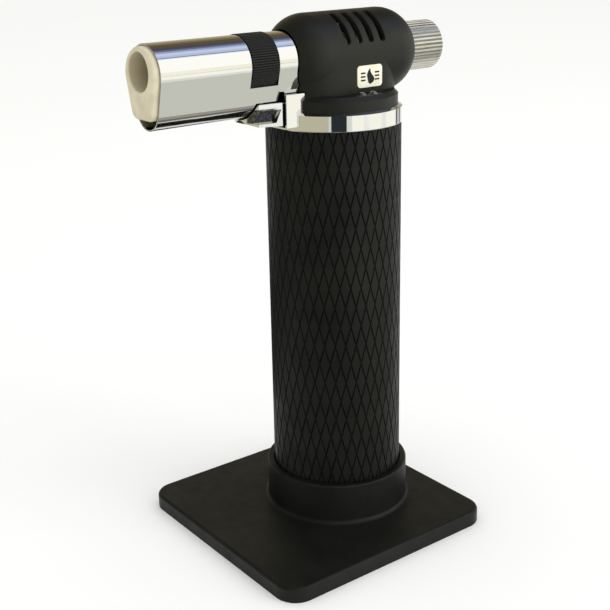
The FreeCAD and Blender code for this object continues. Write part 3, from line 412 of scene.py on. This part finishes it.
def diamond_grip():
    """Sleeve with crossing helical grooves that leave flat diamond pads."""
    lo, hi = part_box("grip_sleeve")
    top, bottom = hi.z / MM, lo.z / MM
    half_w = math.pi * GRIP_R / GRIP_STARTS
    rows = math.ceil((top - bottom) / DIAMOND_H) + 1
    fall = dict(GROOVE_FALL)
    fall.update((round(1 - at, 3), depth) for at, depth in GROOVE_FALL)
    cuts = sorted(fall)
    bm = bmesh.new()
    grid = {}

    def vertex(p, q, s, t):
        around = (p + s - q - t) % (2 * GRIP_STARTS)
        height = p + s + q + t
        key = (round(around * 1000), round(height * 1000))
        if key not in grid:
            angle = around * half_w / GRIP_R + GRIP_PHASE
            r = GRIP_R - GROOVE_DEPTH * max(fall[s], fall[t])
            z = bottom - DIAMOND_H + GRIP_RISE + height * DIAMOND_H / 2
            grid[key] = bm.verts.new((r * MM * math.cos(angle), r * MM * math.sin(angle), z * MM))
        return grid[key]

    for total in range(2 * rows + 2):
        for around in range(2 * GRIP_STARTS):
            if (total - around) % 2:
                continue
            p, q = (total + around) // 2, (total - around) // 2
            for s0, s1 in zip(cuts, cuts[1:]):
                for t0, t1 in zip(cuts, cuts[1:]):
                    corners = [vertex(p, q, s, t) for s, t in ((s0, t0), (s1, t0), (s1, t1), (s0, t1))]
                    if len(set(corners)) == 4:
                        bm.faces.new(corners)
    for z, normal in ((top, 1), (bottom, -1)):
        everything = list(bm.verts) + list(bm.edges) + list(bm.faces)
        bmesh.ops.bisect_plane(
            bm, geom=everything, dist=WELD, plane_co=(0, 0, z * MM), plane_no=(0, 0, normal), clear_outer=True
        )
    rim = [e for e in bm.edges if len(e.link_faces) == 1]
    made = bmesh.ops.extrude_edge_only(bm, edges=rim)["geom"]
    for v in made:
        if isinstance(v, bmesh.types.BMVert):
            flat = Vector((v.co.x, v.co.y)).normalized() * (GRIP_R - GRIP_WALL) * MM
            v.co.x, v.co.y = flat
    inner = [e for e in bm.edges if len(e.link_faces) == 1]
    bmesh.ops.bridge_loops(bm, edges=inner)
    piece("diamond_grip", bm, "grip_plastic", "torch", "grip_sleeve", smooth=50)


def label_flame():
    """Generic raised flame between three heat bars on each side, on the label plate."""
    lo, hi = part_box("label_plate")
    centre = (lo + hi) / 2
    face = hi.x / MM - RELIEF_SUNK
    bm = bmesh.new()

    def relief(outline):
        """Extrudes a closed outline of (right, up) points in mm out of the plate's face."""
        at = [(centre.y / MM + u, centre.z / MM + v) for u, v in outline]
        low = [bm.verts.new((face * MM, y * MM, z * MM)) for y, z in at]
        mid = (sum(y for y, z in at) / len(at), sum(z for y, z in at) / len(at))
        top = []
        for y, z in at:
            y, z = y + (mid[0] - y) * RELIEF_DRAFT, z + (mid[1] - z) * RELIEF_DRAFT
            top.append(bm.verts.new(((face + RELIEF) * MM, y * MM, z * MM)))
        bm.faces.new(top)
        bm.faces.new(low[::-1])
        for i in range(len(at)):
            j = (i + 1) % len(at)
            bm.faces.new((low[i], low[j], top[j], top[i]))

    def flame_edge(side, k):
        """Point at a share k of the flame's height, on its left (-1) or right (1) edge."""
        sway = FLAME_SWAY * math.sin(2 * math.pi * k)
        half = FLAME_W / 2 * math.sin(math.pi * k ** FLAME_BELLY)
        return sway + side * half, FLAME_H * (k - 0.5)

    shares = [i / FLAME_STEPS for i in range(FLAME_STEPS + 1)]
    relief([flame_edge(1, k) for k in shares] + [flame_edge(-1, k) for k in reversed(shares[1:-1])])
    for side in (-1, 1):
        u0, u1 = sorted(side * reach for reach in BAR_REACH)
        for v in (-BAR_PITCH, 0.0, BAR_PITCH):
            low, high = v - BAR_HALF_H, v + BAR_HALF_H
            relief([(u0, low), (u1, low), (u1, high), (u0, high)])
    piece("label_flame", bm, "ring_plastic", "torch", smooth=30)


def lock_pips():
    """Two polished crowns, each with a low skirt, on the ledge below the label."""
    dome = []
    for k in range(PIP_STEPS):
        a = math.pi / 2 * k / PIP_STEPS
        dome.append((PIP_R * math.cos(a), PIP_SKIRT_H + PIP_H * math.sin(a)))
    skirt = [
        (PIP_SKIRT_R - 0.1, -PIP_SUNK),
        (PIP_SKIRT_R, -PIP_SUNK),
        (PIP_SKIRT_R, 0.02),
        (PIP_R + 0.06, PIP_SKIRT_H),
    ]
    turn = [2 * math.pi * k / PIP_FACETS for k in range(PIP_FACETS)]
    for name, (x, y) in PIPS.items():
        bm = bmesh.new()
        rings = []
        for r, h in skirt + dome:
            points = [Vector((x + r * math.cos(a), y + r * math.sin(a), LEDGE_Z + h)) for a in turn]
            rings.append([bm.verts.new(point * MM) for point in points])
        loft(bm, rings)
        piece(name, bm, "pip_plastic", "torch", smooth=50, slot="hood_plastic")


def return_spring(name, node, axis, turns):
    """Round-wire spring that fills the box of the CAD node it stands for."""
    lo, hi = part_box(node)
    along = [Vector(row) for row in Matrix.Identity(3)][axis]
    across = Vector(along[2:] + along[:2])
    side = along.cross(across)
    wire = WIRE_R * MM
    radius = (hi - lo).dot(side) / 2 - wire
    length = (hi - lo).dot(along) - 2 * wire
    start = (lo + hi) / 2 - along * length / 2
    section = [2 * math.pi * k / WIRE_SIDES for k in range(WIRE_SIDES)]
    bm = bmesh.new()
    rings = []
    for step in range(turns * WIRE_STEPS + 1):
        angle = 2 * math.pi * step / WIRE_STEPS
        out = across * math.cos(angle) + side * math.sin(angle)
        tangent = out.cross(along) * -radius * 2 * math.pi * turns + along * length
        third = tangent.normalized().cross(out)
        centre = start + along * length * step / (turns * WIRE_STEPS) + out * radius
        spokes = [out * math.cos(a) + third * math.sin(a) for a in section]
        rings.append([bm.verts.new(centre + spoke * wire) for spoke in spokes])
    loft(bm, rings)
    obj = piece(name, bm, "spring_steel", "torch", node, smooth=60)
    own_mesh(obj)


diamond_grip()
label_flame()
lock_pips()
return_spring("trigger_return_spring", "piezo_spring", 1, 7)
return_spring("filler_return_spring", "filler_spring", 2, 5)


# ------------------------------------------------------------------ floor, lights, camera
# Lengths from here on are in metres.
FLOOR_R = 6.0

# Bands of the room round the burner's axis: angles above +X, and what a mirror finds there.
ROOM_BANDS = (
    (-2, 56, (1.0, 1.0, 0.97)),
    (56, 59, (0.72, 0.80, 0.95)),
    (59, 62.5, (0.18, 0.22, 0.36)),
    (62.5, 71, (0.46, 0.53, 0.72)),
    (71, 81, (0.54, 0.62, 0.84)),
    (81, 89, (0.30, 0.36, 0.56)),
    (89, 97, (0.13, 0.14, 0.25)),
    (97, 110, (0.072, 0.065, 0.08)),
    (110, 128, (0.095, 0.078, 0.048)),
    (128, 140, (0.17, 0.13, 0.075)),
    (140, 154, (0.26, 0.22, 0.14)),
    (154, 170, (0.34, 0.30, 0.21)),
    (170, 182, (0.48, 0.46, 0.38)),
)
MIRROR_GAIN = 1.67
DIM_SHARE = 0.35
ROOM_RADIUS = 1.4
ROOM_CENTRE_Z = 0.13
ROOM_Y = (-1.2, -0.15, 4.0)
WHITE = (1.55, 1.53, 1.42)
# Rings of floor that the collar and grip mirror: angles from +X about the stand, radii and tone.
FLOOR_PATCHES = (
    (-160, -46, 0.45, 1.10, (0.80, 0.76, 0.57)),
    (-42, -17, 0.45, 1.10, (0.035, 0.045, 0.05)),
    (-8, 12, 0.45, 1.10, WHITE),
    (22, 46, 0.45, 1.10, WHITE),
    (57, 84, 0.45, 1.10, WHITE),
    (87, 93, 0.45, 1.10, (0.16, 0.17, 0.17)),
    (99, 105, 0.45, 1.10, (0.22, 0.22, 0.22)),
    (120, 155, 0.45, 1.10, WHITE),
    (-105, -14, 0.09, 0.44, (0.20, 0.20, 0.18)),
)
PATCH_Z = 0.001
# Strips of floor beside the stand that the shroud's flank mirrors: x range, height and tone.
FLOOR_STRIPS = (
    (0.052, 0.085, 0.003, (0.24, 0.23, 0.20)),
    (0.085, 0.130, 0.0025, (0.50, 0.48, 0.42)),
    (0.150, 0.260, 0.002, (0.90, 0.91, 0.84)),
)
STRIP_Y = (-0.03, 0.4)
# Dark floor that the trigger's nose and the grip's left edge mirror: x and y ranges, and height.
DARK_X = (-0.36, -0.09)
DARK_Y = (-0.28, 0.07)
DARK_Z = 0.002
# Low bright window: its distance along +X, and its y and z ranges.
WINDOW_X = 0.55
WINDOW_Y = (0.0, 0.9)
WINDOW_Z = (0.08, 0.21)

LIGHT_TARGET = (0, 0, 0.08)
CAMERA_PLACE = (0.23881, -0.19224, 0.17215)
CAMERA_ANGLES = (53.79, 17.92, -1.43)
CAMERA_LENS = 65.12
CAMERA_SHIFT = (0.030, -0.042)


def floor():
    bm = bmesh.new()
    bmesh.ops.create_circle(bm, cap_ends=True, segments=96, radius=FLOOR_R)
    mesh = bpy.data.meshes.new("floor")
    bm.to_mesh(mesh)
    bm.free()
    s = Shade("floor_paint", (0.93, 0.93, 0.925, 1), 1.0, specular=0.0)
    s.colour(s.mix(s.noise(400, 2), (0.925, 0.925, 0.918, 1), (0.94, 0.94, 0.935, 1)))
    mesh.materials.append(s.mat)
    obj = add("floor", mesh)


def glow(name, colour, strength):
    mat = bpy.data.materials.new(name)
    mat.use_nodes = True
    tree = mat.node_tree
    tree.nodes.clear()
    out = tree.nodes.new("ShaderNodeOutputMaterial")
    emit = tree.nodes.new("ShaderNodeEmission")
    emit.inputs["Color"].default_value = (*colour, 1)
    emit.inputs["Strength"].default_value = strength
    tree.links.new(emit.outputs[0], out.inputs["Surface"])
    return mat


def reflector(name, verts, faces, colour, strength=1.0):
    """A card that only mirror reflections see."""
    mesh = bpy.data.meshes.new(name)
    mesh.from_pydata(verts, [], faces)
    mesh.materials.append(glow(name, colour, strength))
    obj = add(name, mesh)
    obj.visible_camera = False
    obj.visible_diffuse = False
    obj.visible_shadow = False


def band_card(name, a0, a1, y0, y1, colour, strength):
    """Part of a long barrel vault whose axis is the burner's."""
    steps = 4
    arc = []
    for i in range(steps + 1):
        a = math.radians(a0 + (a1 - a0) * i / steps)
        arc.append((ROOM_RADIUS * math.cos(a), ROOM_CENTRE_Z + ROOM_RADIUS * math.sin(a)))
    verts = [(x, y, z) for y in (y0, y1) for x, z in arc]
    faces = [(i, i + 1, steps + i + 2, steps + i + 1) for i in range(steps)]
    reflector(name, verts, faces, colour, strength)


def floor_patch(name, a0, a1, r0, r1, colour):
    """Part of a ring that lies just above the floor."""
    steps = 8
    verts = []
    for i in range(steps + 1):
        a = math.radians(a0 + (a1 - a0) * i / steps)
        verts += [(r * math.cos(a), r * math.sin(a), PATCH_Z) for r in (r0, r1)]
    faces = [(2 * i, 2 * i + 1, 2 * i + 3, 2 * i + 2) for i in range(steps)]
    reflector(name, verts, faces, colour)


def floor_card(name, x, y, z, colour):
    """Rectangle just above the floor and the ring patches."""
    (x0, x1), (y0, y1) = x, y
    corners = [(x0, y0, z), (x1, y0, z), (x1, y1, z), (x0, y1, z)]
    reflector(name, corners, [(0, 1, 2, 3)], colour)


def studio():
    dim_y, bright_y, far_y = ROOM_Y
    for k, (a0, a1, colour) in enumerate(ROOM_BANDS):
        band_card(f"room_band_{k}", a0, a1, bright_y, far_y, colour, MIRROR_GAIN)
        band_card(f"dim_band_{k}", a0, a1, dim_y, bright_y, colour, DIM_SHARE * MIRROR_GAIN)
    for k, patch in enumerate(FLOOR_PATCHES):
        floor_patch(f"floor_patch_{k}", *patch)
    for k, (x0, x1, z, colour) in enumerate(FLOOR_STRIPS):
        floor_card(f"floor_strip_{k}", (x0, x1), STRIP_Y, z, colour)
    floor_card("dark_patch", DARK_X, DARK_Y, DARK_Z, (0.05, 0.05, 0.05))
    r, top = ROOM_RADIUS, ROOM_RADIUS + ROOM_CENTRE_Z
    wall = [(-r, dim_y, 0), (r, dim_y, 0), (r, dim_y, top), (-r, dim_y, top)]
    reflector("dim_wall", wall, [(0, 1, 2, 3)], (0.25, 0.26, 0.27))
    (y0, y1), (z0, z1) = WINDOW_Y, WINDOW_Z
    low = [(WINDOW_X, y0, z0), (WINDOW_X, y1, z0), (WINDOW_X, y1, z1), (WINDOW_X, y0, z1)]
    reflector("low_window", low, [(0, 1, 2, 3)], (1.0, 0.98, 0.84), 1.5)


def area_light(name, place, side, power):
    """Square light that aims at the object and isn't mirrored in it."""
    data = bpy.data.lights.new(name, "AREA")
    data.shape = "RECTANGLE"
    data.size = data.size_y = side
    data.energy = power
    obj = add(name, data)
    obj.location = place
    obj.rotation_euler = (Vector(LIGHT_TARGET) - Vector(place)).to_track_quat("-Z", "Y").to_euler()
    obj.visible_glossy = False


def world():
    w = bpy.data.worlds.new("soft_room")
    w.use_nodes = True
    background = w.node_tree.nodes["Background"]
    background.inputs["Color"].default_value = (1.0, 1.0, 0.985, 1)
    background.inputs["Strength"].default_value = 1.0
    scene.world = w


def camera():
    """Stands where the reference view does. Its angles are azimuth, elevation and roll."""
    azimuth, elevation, roll = (math.radians(angle) for angle in CAMERA_ANGLES)
    back = Vector((
        math.sin(azimuth) * math.cos(elevation),
        -math.cos(azimuth) * math.cos(elevation),
        math.sin(elevation),
    ))
    right = Vector((math.cos(azimuth), math.sin(azimuth), 0))
    up = back.cross(right)
    cam_right = right * math.cos(roll) + up * math.sin(roll)
    cam_up = up * math.cos(roll) - right * math.sin(roll)
    data = bpy.data.cameras.new("camera")
    data.sensor_width = 36
    data.lens = CAMERA_LENS
    data.shift_x, data.shift_y = CAMERA_SHIFT
    data.clip_start, data.clip_end = 0.01, 50
    obj = add("camera", data)
    axes = Matrix((cam_right, cam_up, back)).transposed().to_4x4()
    obj.matrix_world = Matrix.Translation(CAMERA_PLACE) @ axes
    scene.camera = obj


floor()
studio()
world()
area_light("window", (0.9, 0.55, 0.45), 0.8, 4.5)
area_light("overhead", (-0.2, -0.3, 1.2), 0.9, 0.5)
camera()
scene.view_settings.view_transform = "Standard"
